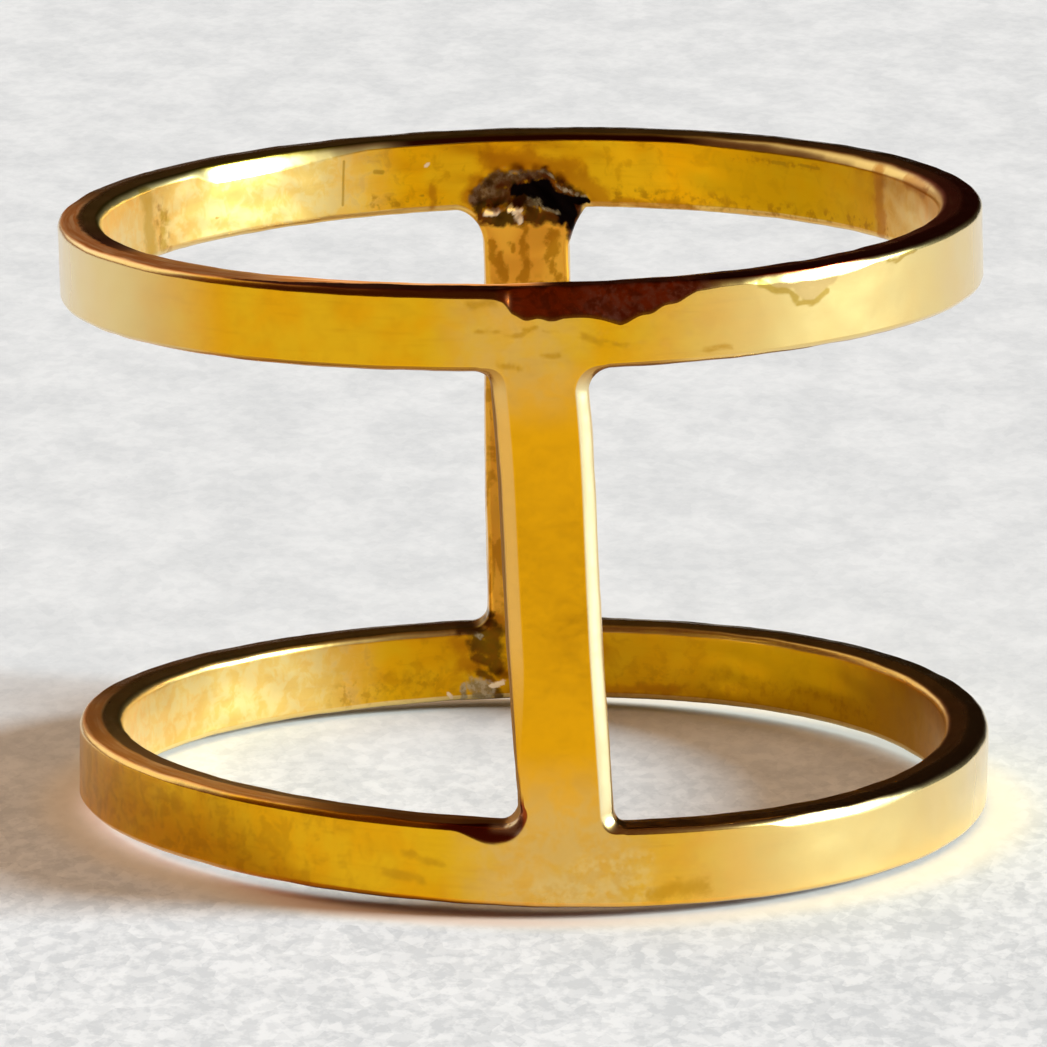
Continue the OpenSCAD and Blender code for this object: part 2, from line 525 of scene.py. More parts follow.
def over_edge(step, reach, depth, flat):
    """Distance down the face and depth into the wall for steps from 0, on the
    face, to 1, on the rim: reach * (1 - sin) and depth * (1 - cos) of a
    quarter turn, mixed with the straight line between the same ends."""
    turn = step[:, None] * math.pi / 2
    straight = np.broadcast_to(step[:, None], (len(step), len(reach)))
    down = reach * ((1 - flat) * (1 - np.sin(turn)) + flat * (1 - straight))
    into = depth * ((1 - flat) * (1 - np.cos(turn)) + flat * straight)
    return down, into


def crest_share(along):
    """Where a rim's two filed halves meet, as a share of its width: just
    under a half, plus waves that go 7 and 17 times around the ring."""
    turn = along / middle_r
    return 0.47 + 0.06 * np.sin(7 * turn) + 0.04 * np.sin(17 * turn + 1)


belt_rows = 2 * (len(FACE_STEPS) + len(EDGE_STEPS)) + len(RIM_STEPS)
print(f"{belt_rows} rows from seam to seam")

# %% [markdown]
# The two faces, the two roundings and the rim between them are laid side by
# side. The rim is crowned a little, because a file rocks as it is pushed.

# %% The grid of a belt
def belt_grid(belt, size):
    """Rows of along, height and depth under the outer face, then of a mark
    that goes from 0 on a face to 1 on the rim, and of the rim's crown."""
    seam, edge, into = belt[0:2], belt[2:4], belt[4:6]
    blocks = []
    for inner in (False, True):
        reach, depth, flat = size[3:] if inner else size[:3]
        down, deep = over_edge(EDGE_STEPS, reach, depth, flat)
        start = edge + into * reach
        face = seam[:, None] + (start - seam)[:, None] * FACE_STEPS[None, :, None]
        corner = edge[:, None] + into[:, None] * down[None]
        face_deep = np.zeros(face.shape[1:])
        flatwise = np.concatenate([face, corner], axis=1)
        deep = np.concatenate([face_deep, deep])
        rim_mark = np.concatenate([face_deep, np.repeat(EDGE_STEPS[:, None], len(reach), 1)])
        if inner:
            flatwise, deep, rim_mark = flatwise[:, ::-1], wall - deep[::-1], rim_mark[::-1]
        blocks.append((flatwise, deep, rim_mark))
    (front, front_deep, front_mark), (back, back_deep, back_mark) = blocks
    low, high = front_deep[-1], back_deep[0]
    crest = crest_share(belt[2])
    share = np.where(RIM_STEPS[:, None] < 0.5, 2 * crest * RIM_STEPS[:, None],
                     1 - 2 * (1 - crest) * (1 - RIM_STEPS[:, None]))
    rim_deep = low + (high - low) * share
    rim_flat = np.broadcast_to(edge[:, None], (2, len(RIM_STEPS), edge.shape[1]))
    ones = np.ones(rim_deep.shape)
    flatwise = np.concatenate([front, rim_flat, back], axis=1)
    deep = np.concatenate([front_deep, rim_deep, back_deep])
    mark = np.concatenate([front_mark, ones, back_mark])
    crown = 1 - 2 * np.abs(RIM_STEPS[:, None] - 0.5) * ones
    crown = np.concatenate([0 * front_mark, crown, 0 * back_mark])
    return flatwise[0], flatwise[1], deep, mark, crown


point_count = sum(belt_rows * belt.shape[1] for belt in belts.values())
print(f"{point_count} points in all, before the seams are welded")

# %% [markdown]
# ## Marks of the hand
# Polishing leaves a surface slightly wavy, and solder leaves lumps. The waves
# are a sum of sine waves in fixed random directions, worked out from each
# point's place in space, so they fit together across every seam. The lumps
# are a short list of round hills on the finger side of the back joints. They
# could be sculpted by hand, but a list can be read and changed.

# %% Waves
# How many sine waves are added, and how high the waves of each part of the
# surface are, how long, and the seed of their directions
WAVE_COUNT = 14
RIPPLES = {
    "outer": ((0.006, 2.2, 1), (0.003, 0.9, 2)),
    "inner": ((0.008, 1.6, 3), (0.004, 0.7, 4)),
    "rim": ((0.006, 1.3, 5), (0.003, 0.5, 6)),
    "crust": ((1.0, 0.42, 7), (0.6, 0.24, 8)),
}


def waves(points, length, seed):
    """Sum of sine waves of about the given length, divided by the root of
    their count, so that the result is mostly between -1 and 1."""
    dice = np.random.default_rng(seed)
    ways = dice.normal(size=(WAVE_COUNT, 3))
    turns = 2 * math.pi / length / np.linalg.norm(ways, axis=1)
    ways *= (turns * dice.uniform(0.7, 1.4, WAVE_COUNT))[:, None]
    phase = dice.uniform(0, 2 * math.pi, WAVE_COUNT)
    return np.sin(points @ ways.T + phase).sum(axis=-1) / math.sqrt(WAVE_COUNT)


def ripples(points, part):
    """The waves of one part of the surface, each times its own height."""
    return sum(lift * waves(points, length, seed) for lift, length, seed in RIPPLES[part])


for part, rows in RIPPLES.items():
    print(f"{part}: waves of {' and '.join(str(length) for _, length, _ in rows)} mm")

# %% [markdown]
# The lumps are placed by their distance along the strip from the line opposite
# the front, because the burnt joint is at the back.

# %% Lumps of solder
def from_back(along):
    """How far along the strip a place lies from the line opposite the front,
    + to the photograph's left: the rest of along / girth, less half a girth."""
    return np.mod(along, girth) - girth / 2


# Lumps of solder on the finger side: along from the back, height, radius and
# how far each stands in
LUMPS = [
    dict(along=-0.10, height=10.75, radius=0.95, lift=0.10),
    dict(along=-0.60, height=11.00, radius=0.34, lift=0.07),
    dict(along=0.50, height=11.50, radius=0.38, lift=0.05),
    dict(along=0.10, height=11.62, radius=0.36, lift=0.05),
    dict(along=-0.35, height=11.62, radius=0.32, lift=0.05),
    dict(along=-0.85, height=11.42, radius=0.30, lift=0.05),
    dict(along=0.62, height=10.86, radius=0.26, lift=0.07),
    dict(along=0.10, height=10.95, radius=0.24, lift=0.06),
    dict(along=1.10, height=1.55, radius=0.50, lift=0.05),
    dict(along=0.80, height=0.40, radius=0.35, lift=0.05),
]


def solder_lift(along, height):
    """How far the solder stands in from the finger side: the sum of hills
    lift * (1 - (distance / radius) squared) squared."""
    lift = np.zeros(along.shape)
    for lump in LUMPS:
        off = ((from_back(along) - lump["along"]) ** 2
               + (height - lump["height"]) ** 2) / lump["radius"] ** 2
        lift += lump["lift"] * np.clip(1 - off, 0, None) ** 2
    return lift


print(f"{len(LUMPS)} lumps, the highest {max(lump['lift'] for lump in LUMPS)} mm high")

# %% [markdown]
# ## A chart of the marks
# Burnt solder, heat colours, pits and smears are charted as strokes on the
# strip: along and height of the start, along and height of the end, and how
# far the stroke reaches to its sides. Strokes that overlap make one stain. On
# the finger side, along is counted from the back, + to the photograph's left;
# on the outside it is counted from the front, + to the right. Sine waves push
# the strokes out of shape, so no border is straight.
# Painting on an image would be the usual way. Here the mesh is fine enough to
# carry the paint on its own points.

# %% Strokes on the finger side
INNER_MARKS = {
    # Black scale in the hollow of the upper joint
    "char": [
        (0.17, 11.42, -0.18, 11.40, 0.15), (-0.30, 11.38, -0.59, 11.36, 0.29),
        (-0.64, 11.33, -0.88, 11.15, 0.24), (-0.88, 11.18, -1.39, 11.08, 0.11),
        (-0.80, 11.06, -0.94, 10.80, 0.21), (-1.23, 11.14, -1.50, 11.06, 0.06),
        (-0.45, 11.22, -0.86, 10.98, 0.27), (-1.05, 11.10, -1.14, 10.80, 0.14),
        (-1.14, 10.80, -1.16, 10.45, 0.10),
    ],
    # Brown and grey crust over it, and in the web right of the bar's head
    "crust": [
        (0.88, 11.33, 0.58, 11.56, 0.27), (0.58, 11.54, 0.17, 11.60, 0.23),
        (0.17, 11.67, -0.53, 11.67, 0.14), (1.02, 11.22, 0.40, 11.24, 0.22),
        (-1.18, 10.97, -1.18, 10.70, 0.24), (-1.17, 10.70, -1.12, 10.15, 0.15),
    ],
    # Deep red-brown soot
    "soot": [
        (0.98, 11.03, 0.51, 11.13, 0.18), (0.80, 10.69, 0.44, 10.66, 0.17),
        (0.44, 10.67, 0.17, 10.87, 0.15), (-0.22, 10.94, -0.34, 10.72, 0.26),
        (-0.45, 10.82, -0.95, 10.80, 0.20), (0.97, 10.95, 0.95, 10.82, 0.08),
        (0.20, 11.20, -0.60, 11.12, 0.34), (-0.60, 11.02, -1.00, 10.92, 0.24),
        (-0.55, 11.62, -1.25, 11.22, 0.26), (0.90, 10.78, -0.90, 10.74, 0.22),
        (-1.18, 10.97, -1.14, 10.20, 0.20), (0.50, 11.45, -0.20, 11.57, 0.14),
        (1.79, 1.63, 1.47, 1.60, 0.24), (1.47, 1.58, 1.12, 1.45, 0.26),
        (1.04, 1.55, 0.98, 0.75, 0.30), (1.45, 1.25, 1.15, 1.20, 0.34),
        (1.45, 1.00, 1.20, 0.90, 0.20), (1.37, 0.62, 1.09, 0.48, 0.16),
        (0.95, 0.22, 0.92, 0.05, 0.18), (1.19, 1.98, 1.02, 1.98, 0.12),
        (1.29, 1.74, 1.01, 1.78, 0.14),
    ],
    # Grey-olive residue of the flux, with painted glints and painted highlights on the crust's
    # ridges
    "ash": [
        (1.55, 0.35, 1.12, 0.30, 0.24), (1.47, 0.15, 1.17, 0.10, 0.17),
        (1.79, 0.30, 1.75, 0.05, 0.11), (-0.41, 11.72, -0.69, 11.69, 0.06),
        (-0.79, 11.56, -0.99, 11.40, 0.05), (-0.99, 11.40, -1.41, 11.17, 0.05),
        (0.51, 11.80, -0.07, 11.80, 0.05), (-0.53, 10.90, -0.78, 10.90, 0.07),
        (-0.18, 11.08, -0.39, 11.08, 0.13), (1.45, 1.53, 1.35, 1.46, 0.08),
    ],
    # Orange and brown colours that the heat left in the plating
    "tint": [
        (0.72, 12.00, -0.18, 12.06, 0.42), (-0.10, 11.92, -1.20, 11.88, 0.30),
        (-1.10, 11.72, -1.80, 11.20, 0.45), (-1.56, 11.38, -1.78, 11.34, 0.22),
        (1.02, 11.65, 1.20, 11.26, 0.30), (2.10, 11.50, 2.05, 11.10, 0.16),
        (-2.0, 11.08, -4.2, 11.05, 0.15),
        (1.90, 1.35, 1.55, 1.20, 0.36), (1.77, 0.85, 1.45, 0.80, 0.30),
        (-1.20, 1.20, -1.00, 0.40, 0.60), (-1.50, 0.22, -3.40, 0.30, 0.16),
    ],
    # Brown blotches on the back bar
    "blotch": [
        (-0.03, 10.76, -0.05, 9.50, 0.13), (0.72, 10.20, 0.58, 9.75, 0.15),
        (0.50, 9.90, 0.45, 9.35, 0.18), (0.22, 10.20, 0.17, 10.05, 0.10),
        (-0.74, 10.40, -0.62, 9.95, 0.20), (-0.52, 9.85, -0.80, 9.40, 0.12),
        (0.05, 9.45, -0.40, 9.20, 0.12),
    ],
    # Where the finger side is pitted, mostly along its lower edge
    "pitted": [
        (-2.20, 11.22, -5.50, 11.15, 0.32), (-5.50, 11.15, -10.4, 11.20, 0.24),
        (1.20, 11.20, 3.50, 11.20, 0.12), (9.80, 11.90, 9.65, 11.10, 0.40),
        (-5.20, 12.20, -7.60, 12.18, 0.12), (3.60, 11.37, 3.00, 11.35, 0.10),
        (-1.40, 0.50, -8.60, 0.45, 0.50), (2.20, 0.50, 4.80, 0.35, 0.45),
    ],
    # Upright bands where the plating is darker, beside the widest places
    "band": [
        (10.50, 12.45, 10.30, 11.10, 0.38), (9.78, 11.85, 9.62, 11.70, 0.16),
        (9.88, 11.55, 9.70, 11.45, 0.14), (9.78, 11.25, 9.66, 11.12, 0.14),
        (-9.85, 12.45, -9.95, 11.10, 0.30), (-11.20, 12.45, -12.40, 12.38, 0.24),
    ],
    # Painted glints: pale specks where the solder and a rim catch the light
    "bare": [
        (0.80, 10.85, 0.51, 10.90, 0.11), (0.24, 10.99, 0.00, 10.95, 0.11),
        (0.08, 10.84, 0.05, 10.70, 0.08), (1.07, 0.37, 0.79, 0.37, 0.08),
        (2.14, 0.20, 2.10, 0.12, 0.07), (2.22, 12.02, 2.18, 12.02, 0.07),
    ],
}
print({name: len(strokes) for name, strokes in INNER_MARKS.items()})

# %% [markdown]
# The outside was cleaned better, so its chart is short.

# %% Strokes on the outside
OUTER_MARKS = {
    # Brown smears on the front, most of them under the dark facet
    "smear": [
        (-0.95, 12.36, -0.45, 12.34, 0.16), (-0.80, 11.82, -0.10, 11.68, 0.06),
        (-0.10, 11.68, 0.21, 11.84, 0.06), (0.05, 11.85, 0.32, 11.84, 0.09),
        (0.45, 11.74, 0.80, 11.70, 0.06), (1.25, 11.66, 1.60, 11.47, 0.12),
        (1.56, 11.47, 2.10, 11.44, 0.07), (0.50, 11.26, 0.80, 11.23, 0.09),
        (-0.45, 11.06, -0.08, 11.03, 0.10), (3.60, 11.16, 4.20, 11.25, 0.09),
        (2.30, 0.30, 3.30, 0.42, 0.28), (-2.60, 0.95, -1.80, 0.85, 0.14),
        (-2.90, 0.55, -2.20, 0.45, 0.16),
    ],
    # A flap of plating torn loose under the bright facet
    "tear": [
        (4.80, 12.40, 5.45, 12.19, 0.10), (5.45, 12.19, 5.62, 11.99, 0.09),
        (5.67, 11.90, 5.88, 11.87, 0.07), (5.88, 11.87, 6.12, 11.94, 0.07),
        (6.12, 11.94, 6.44, 12.10, 0.09), (8.12, 12.43, 8.50, 12.43, 0.06),
        (8.65, 12.46, 9.00, 12.46, 0.05),
    ],
    # The duller skin inside the flap
    "veil": [
        (5.20, 12.36, 6.60, 12.30, 0.14), (5.75, 12.20, 5.95, 12.00, 0.22),
        (6.10, 12.12, 6.35, 12.22, 0.16),
    ],
    # Pale crystalline patches on the front foot
    "pale": [
        (0.20, 0.35, 1.90, 0.40, 0.50), (0.90, 0.85, 2.00, 0.95, 0.45),
    ],
}
print({name: len(strokes) for name, strokes in OUTER_MARKS.items()})

# %% [markdown]
# A stroke becomes a field of numbers, largest on its middle line. The finish
# cuts the field off where it likes, so one chart serves soft and hard borders.

# %% The field of a chart
def strokes_field(off, height, strokes):
    """The largest, over the strokes, of 1 - distance / reach, and never below
    0. The nearest place on a stroke is start + t * span, with t the share
    (place - start) . span / |span| squared, kept from 0 to 1."""
    wavy_off = off + 0.04 * np.sin(7.3 * height + 3.1 * off) + 0.02 * np.sin(17 * height)
    wavy_height = height + 0.03 * np.sin(6.1 * off + 1) + 0.02 * np.sin(13.7 * off)
    field = np.zeros(off.shape)
    for start, low, end, high, reach in strokes:
        span, climb = end - start, high - low
        share = ((wavy_off - start) * span + (wavy_height - low) * climb) / (span ** 2 + climb ** 2)
        share = np.clip(share, 0, 1)
        far = np.hypot(wavy_off - start - share * span, wavy_height - low - share * climb)
        field = np.maximum(field, 1 - far / reach)
    return field


burnt_middle = strokes_field(np.array([-0.45]), np.array([11.22]), INNER_MARKS["char"])
print(f"the char's field in the middle of the burnt solder is {burnt_middle[0]:.2f}")

# %% [markdown]
# With waves, lumps and marks at hand, each belt is bent into place. Burnt
# solder is crusty, so it gets small steep waves of its own, and the back bar
# gets long ones, because it was hardly polished.

# %% Surface of each belt
def on_bar(along, height):
    """1 on the bars, 0 on the bands, and smooth in the joints."""
    return (smooth(height, band_h - 0.3, band_h + 0.5)
            * (1 - smooth(height, ring_h - band_h - 0.5, ring_h - band_h + 0.3)))


# How far the rims are crowned, how high the crust of the burnt solder stands,
# and how deep the streaks along the back bar are
CROWN, CRUST, STREAKS = 0.03, 0.028, 0.008


def surface(name, belt):
    """Places of one belt's points in space, and the marks for the finish."""
    along, height, deep, mark, crown = belt_grid(belt, edge_sizes(name, belt))
    inner = deep / wall
    flat = place(along, height, outer_r - deep)
    outer_wave = ripples(flat, "outer")
    inner_wave = ripples(flat, "inner")
    radius = outer_r - deep
    radius += (1 - inner) * outer_wave - inner * inner_wave
    radius -= inner ** 4 * solder_lift(along, height)
    off = from_back(along)
    stains = {stain: strokes_field(off, height, strokes) * inner
              for stain, strokes in INNER_MARKS.items()}
    from_front = np.where(along > girth / 2, along - girth, along)
    for stain, strokes in OUTER_MARKS.items():
        stains[stain] = strokes_field(from_front, height, strokes) * (1 - inner)
    crusty = np.sqrt(np.maximum(stains["crust"], stains["char"]))
    radius -= CRUST * inner ** 4 * crusty * ripples(flat, "crust")
    streaky = on_bar(along, height) * smooth(flat[..., 1], 0, 4) * inner
    radius -= STREAKS * streaky * waves(flat * (1, 1, 0.35), 0.5, 9)
    rim_wave = mark * ripples(flat, "rim") - CROWN * crown
    height = height + belt[5] * rim_wave
    along = along + belt[4] * rim_wave
    points = place(along, height, radius)
    turn = along / middle_r
    paper = np.stack([middle_r * np.sin(turn), -middle_r * np.cos(turn), height], axis=-1)
    marks = dict(paper=paper, inner=inner, rim=mark, bar=on_bar(along, height), **stains)
    return points, marks


grids = {name: surface(name, belt) for name, belt in belts.items()}
for name, (points, marks) in grids.items():
    print(f"{name}: {points.shape[0]} rows of {points.shape[1]} points")

# %% [markdown]
# ## Weld the belts
# Each grid becomes quads, closed in the direction around the window. The four
# belts then share their seam points, so merging what lies within a tenth of a
# micrometre closes the mesh. A closed mesh has two faces at every edge, and
# that is counted here.

# %% Quads of a grid
def grid_faces(rows, columns, first):
    """Corner numbers of the quads of a grid that is closed along its columns."""
    row, column = np.meshgrid(np.arange(rows - 1), np.arange(columns), indexing="ij")
    after = (column + 1) % columns
    quads = np.stack([row * columns + column, row * columns + after,
                      (row + 1) * columns + after, (row + 1) * columns + column], axis=-1)
    return quads.reshape(-1, 4) + first


def rows_of(marks):
    """The shape of a grid of numbers or vectors once its points are in a row."""
    return (-1, 3) if marks.ndim == 3 else (-1,)


sample = grid_faces(belt_rows, belts["top rim"].shape[1], 0)
print(f"the top rim's belt has {len(sample)} quads")

# %% [markdown]
# The mesh is filled in one go from whole arrays, and only the welding and the
# turning of the faces are left to Blender's own mesh tools.

# %% Make the mesh
# Points that lie closer together than this, in metres, become one
WELD = 1e-7


def make_ring():
    """One mesh object of all belts, which carries the marks as attributes."""
    places, faces = [], []
    first = 0
    for points, marks in grids.values():
        rows, columns = points.shape[:2]
        places.append(points.reshape(-1, 3) * MM)
        faces.append(grid_faces(rows, columns, first))
        first += rows * columns
    mesh = bpy.data.meshes.new("gold_ring")
    mesh.from_pydata(np.concatenate(places), [], np.concatenate(faces))
    for name in grids["top rim"][1]:
        values = [marks[name].reshape(rows_of(marks[name])) for _, marks in grids.values()]
        values = np.concatenate(values).astype(np.float32)
        kind, field = ("FLOAT_VECTOR", "vector") if name == "paper" else ("FLOAT", "value")
        attribute = mesh.attributes.new(name, kind, "POINT")
        attribute.data.foreach_set(field, values.ravel())
    work = bmesh.new()
    work.from_mesh(mesh)
    bmesh.ops.remove_doubles(work, verts=work.verts, dist=WELD)
    bmesh.ops.recalc_face_normals(work, faces=work.faces)
    open_edges = sum(len(edge.link_faces) != 2 for edge in work.edges)
    volume = work.calc_volume() / MM ** 3
    work.to_mesh(mesh)
    work.free()
    mesh.polygons.foreach_set("use_smooth", np.ones(len(mesh.polygons), bool))
    ring = bpy.data.objects.new("gold_ring", mesh)
    bpy.context.scene.collection.objects.link(ring)
    print(f"{len(mesh.polygons)} faces, {open_edges} open edges, {volume:.1f} cubic mm")
    return ring


ring = make_ring()
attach(ring, "root")
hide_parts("ring")

# %% [markdown]
# ## Writing shader maths as Python
# A small class wraps the output of a node. Its operators add Math nodes, so
# 1 - mask * 0.5 can be written as it is read. Wiring such sums by hand takes
# three lines for each node and hides what is meant.

# %% Wires
class Wire:
    """A number that a node gives out, with Python's arithmetic."""

    def __init__(self, tree, socket):
        self.tree = tree
        self.socket = socket

    def math(self, operation, first, second):
        """One Math node on two numbers or wires."""
        return self.tree.add("ShaderNodeMath", dict(operation=operation), {0: first, 1: second})

    def __add__(self, other):
        return self.math("ADD", self, other)

    def __radd__(self, other):
        return self.math("ADD", other, self)

    def __sub__(self, other):
        return self.math("SUBTRACT", self, other)

    def __rsub__(self, other):
        return self.math("SUBTRACT", other, self)

    def __mul__(self, other):
        return self.math("MULTIPLY", self, other)

    def __rmul__(self, other):
        return self.math("MULTIPLY", other, self)

    def __truediv__(self, other):
        return self.math("DIVIDE", self, other)

    def __pow__(self, other):
        return self.math("POWER", self, other)

    def most(self, other):
        """The larger of two."""
        return self.math("MAXIMUM", self, other)

    def least(self, other):
        """The smaller of two."""
        return self.math("MINIMUM", self, other)

    def size(self):
        """The number without its sign."""
        return self.math("ABSOLUTE", self, 0)

    def step(self, start, end):
        """0 before start, 1 after end and smooth between; turned round where
        start is the larger."""
        if start > end:
            return 1 - self.step(end, start)
        return self.tree.add("ShaderNodeMapRange", dict(interpolation_type="SMOOTHSTEP"),
                             {"Value": self, "From Min": start, "From Max": end})


# %% [markdown]
# Any other node comes from one method, which sets the node's own settings first
# and then its sockets. The rest are shorter names for nodes used often.

# %% Node trees
class Tree:
    """A node tree that is filled by method calls."""

    def __init__(self, tree):
        self.tree = tree
        tree.nodes.clear()

    def add(self, kind, settings, sockets, out=0):
        """Makes a node: its settings first, then its sockets, by name or
        number, from a value or a wire. Gives the output with the name or
        number out as a wire."""
        node = self.tree.nodes.new(kind)
        for name, value in settings.items():
            setattr(node, name, value)
        for name, value in sockets.items():
            socket = node.inputs[name]
            if isinstance(value, Wire):
                self.tree.links.new(value.socket, socket)
            elif isinstance(value, tuple) and socket.type == "RGBA":
                socket.default_value = (*value[:3], 1)
            else:
                socket.default_value = value
        if not node.outputs:
            return node
        return Wire(self, node.outputs[out])

    def mix(self, first, second, share):
        """Colour that goes from first to second as share goes from 0 to 1. A
        Mix node has its colours at inputs 6 and 7 and at output 2."""
        return self.add("ShaderNodeMix", dict(data_type="RGBA"),
                        {"Factor": share, 6: first, 7: second}, out=2)

    def noise(self, where, scale, detail=2.0, rough=0.5, warp=0.0):
        """Noise from 0 to 1 with about scale patches in each unit of where."""
        return self.add("ShaderNodeTexNoise", {}, {
            "Vector": where, "Scale": scale, "Detail": detail, "Roughness": rough,
            "Distortion": warp})

    def stretch(self, where, factors):
        """A place with each direction multiplied by its own factor."""
        return self.add("ShaderNodeVectorMath", dict(operation="MULTIPLY"),
                        {0: where, 1: factors})

    def strokes(self, where, rows):
        """1 on the middle line of the nearest stroke, and 0 at its reach. With
        a the start and b the end of a stroke, the nearest place on it is
        a + t * (b - a), where t is (p - a) . (b - a) / |b - a| squared."""
        field = None
        for start, end, reach in rows:
            span = end - start
            off = self.add("ShaderNodeVectorMath", dict(operation="SUBTRACT"),
                           {0: where, 1: tuple(start)})
            part = self.add("ShaderNodeVectorMath", dict(operation="DOT_PRODUCT"),
                            {0: off, 1: tuple(span / (span @ span))}, out="Value")
            part = self.add("ShaderNodeMath", dict(operation="ADD", use_clamp=True),
                            {0: part, 1: 0})
            near = self.add("ShaderNodeVectorMath", dict(operation="SCALE"),
                            {0: tuple(-span), "Scale": part})
            far = self.add("ShaderNodeVectorMath", dict(operation="ADD"), {0: off, 1: near})
            far = self.add("ShaderNodeVectorMath", dict(operation="LENGTH"), {0: far}, out="Value")
            mark = 1 - far / reach
            field = mark if field is None else field.most(mark)
        return field

    def parts(self, where):
        """The three numbers of a place."""
        first = self.add("ShaderNodeSeparateXYZ", {}, {0: where})
        return [Wire(self, output) for output in first.socket.node.outputs]

    def millimetres(self):
        """The point's place on the object, which Blender gives in metres."""
        metres = self.add("ShaderNodeTexCoord", {}, {}, out="Object")
        return self.stretch(metres, (1 / MM, 1 / MM, 1 / MM))


# %% [markdown]
# ## Fine scratches
# Some lines are too thin for the mesh to carry, so the material draws them
# itself, with the nearest place on each line worked out by its nodes.

# %% Scratches on the finger side
# Along and height of both ends, and the reach
SCRATCHES = [
    (32.80, 12.25, 32.86, 11.30, 0.045), (36.40, 11.46, 30.90, 11.34, 0.04),
    (32.04, 11.95, 31.86, 11.93, 0.07), (22.35, 12.20, 22.00, 12.20, 0.06),
    (21.50, 12.22, 20.95, 12.20, 0.05),
]


def on_paper(strokes):
    """The two ends of each stroke on a tube of the middle radius."""
    rows = []
    for start, low, end, high, reach in strokes:
        turns = np.array([start, end]) / middle_r
        ends = np.stack([middle_r * np.sin(turns), -middle_r * np.cos(turns), [low, high]], -1)
        rows.append((ends[0], ends[1], reach))
    return rows


print(f"{len(SCRATCHES)} scratches")

# %% [markdown]
# ## The gold finish
# The plating is bright but not a mirror, and all of it is metal. The material
# is built step by step: masks first, then one colour laid over the other, and
# at last the roughness. It reads the marks that the mesh carries. Side, away
# and height are a point's place on the rolled strip before it is leaned, where
# is its place on the finished ring, and both are in millimetres. One yellow
# all over would look like a new ring. The tarnish and the burnt joints, with
# the painted highlights and shades, make it this one.

# %% What the material reads
material = bpy.data.materials.new("worn_gold_plate")
material.use_nodes = True
tree = Tree(material.node_tree)
mark = {name: tree.add("ShaderNodeAttribute", dict(attribute_name=name), {}, out="Fac")
        for name in ("rim", "inner", "bar", *INNER_MARKS, *OUTER_MARKS)}
paper = tree.add("ShaderNodeAttribute", dict(attribute_name="paper"), {}, out="Vector")
side, away, height = tree.parts(paper)
where = tree.millimetres()


def tell(step):
    """Prints how many nodes the finish has after a step."""
    print(f"{step}: {len(material.node_tree.nodes)} nodes")


def lay(base, colour, share):
    """Lays a named colour over the base, as much of it as share says."""
    return tree.mix(base, COLOURS[colour], share)


print(f"{len(mark)} marks are read from the mesh")

# %% [markdown]
# All colours of the metal have names. They are the red, green and blue shares
# of the light that the metal throws back, so they are stronger than they look.

# %% Colours
COLOURS = {
    "orange gold": (0.91, 0.43, 0.001), "yellow gold": (0.90, 0.49, 0.006),
    "bar gold": (1.0, 0.46, 0.001), "brushed gold": (0.70, 0.31, 0.001),
    "spotted gold": (0.62, 0.27, 0.001), "shaded gold": (0.40, 0.17, 0.001),
    "olive gold": (0.58, 0.33, 0.001), "smoky gold": (0.55, 0.25, 0.001),
    "khaki": (0.84, 0.52, 0.13), "worn gold": (0.90, 0.69, 0.27),
    "rosy gold": (0.94, 0.45, 0.045), "side gold": (0.90, 0.62, 0.22),
    "dark line": (0.12, 0.02, 0.002), "bevel": (0.92, 0.75, 0.40),
    "dull wall": (0.40, 0.18, 0.02), "scoop": (0.30, 0.03, 0.001),
    "bright corner": (0.95, 0.80, 0.50), "heat colour": (0.50, 0.18, 0.002),
    "blotch": (0.50, 0.20, 0.003), "pit": (0.42, 0.18, 0.002),
    "brown crust": (0.08, 0.032, 0.016), "grey crust": (0.19, 0.11, 0.065),
    "red soot": (0.10, 0.020, 0.001), "brown soot": (0.05, 0.022, 0.001),
    "char": (0.005, 0.0025, 0.0025), "dark ash": (0.24, 0.18, 0.09),
    "pale ash": (0.44, 0.35, 0.22), "bare brass": (0.95, 0.72, 0.46),
    "smear": (0.60, 0.29, 0.004), "veil": (0.62, 0.38, 0.12), "tear": (0.54, 0.33, 0.03),
    "crystal": (0.95, 0.74, 0.30), "scratch": (0.40, 0.21, 0.006),
    "brown band": (0.50, 0.19, 0.002), "khaki band": (0.60, 0.38, 0.03),
    "seam": (0.28, 0.09, 0.008), "back rim": (0.30, 0.20, 0.02),
    "front rim": (0.14, 0.012, 0.001), "lower right rim": (0.10, 0.010, 0.001),
    "upper right rim": (0.25, 0.016, 0.001), "brass streak": (0.60, 0.40, 0.16),
    "deep copper": (0.85, 0.30, 0.05), "pale copper": (0.95, 0.50, 0.20),
    "red facet": (0.95, 0.20, 0.002), "brown facet": (0.55, 0.12, 0.002),
    "plum": (1.0, 0.60, 0.46),
}
print(f"{len(COLOURS)} colours")

# %% [markdown]
# Noise of several sizes makes the patches. Two of them are stretched: one runs
# along the bands like the marks of a polishing wheel, one up the bars.

# %% Patches
fine = tree.noise(where, 7.0, 3.0, 0.6)
blobs = tree.noise(where, 4.2, 2.0, 0.55)
mottle = tree.noise(where, 2.6, 3.0, 0.6, 0.5)
patches = tree.noise(where, 0.9, 3.0, 0.55)
strip = tree.add("ShaderNodeCombineXYZ", {}, {
    0: side * 0.7, 1: away * 0.7, 2: height * 9 + mark["inner"] * 11})
along_band = tree.noise(strip, 1.0, 3.0, 0.6)
along_bar = tree.noise(tree.stretch(where, (3.2, 2, 1.1)), 1.0, 2.0, 0.5, 0.8)
tell("patches")

# %% [markdown]
# Masks say where a point lies: on a bar, on the finger side or outside, in the
# front half, on the upper band, on a flat rim, or on the rounding beside it.

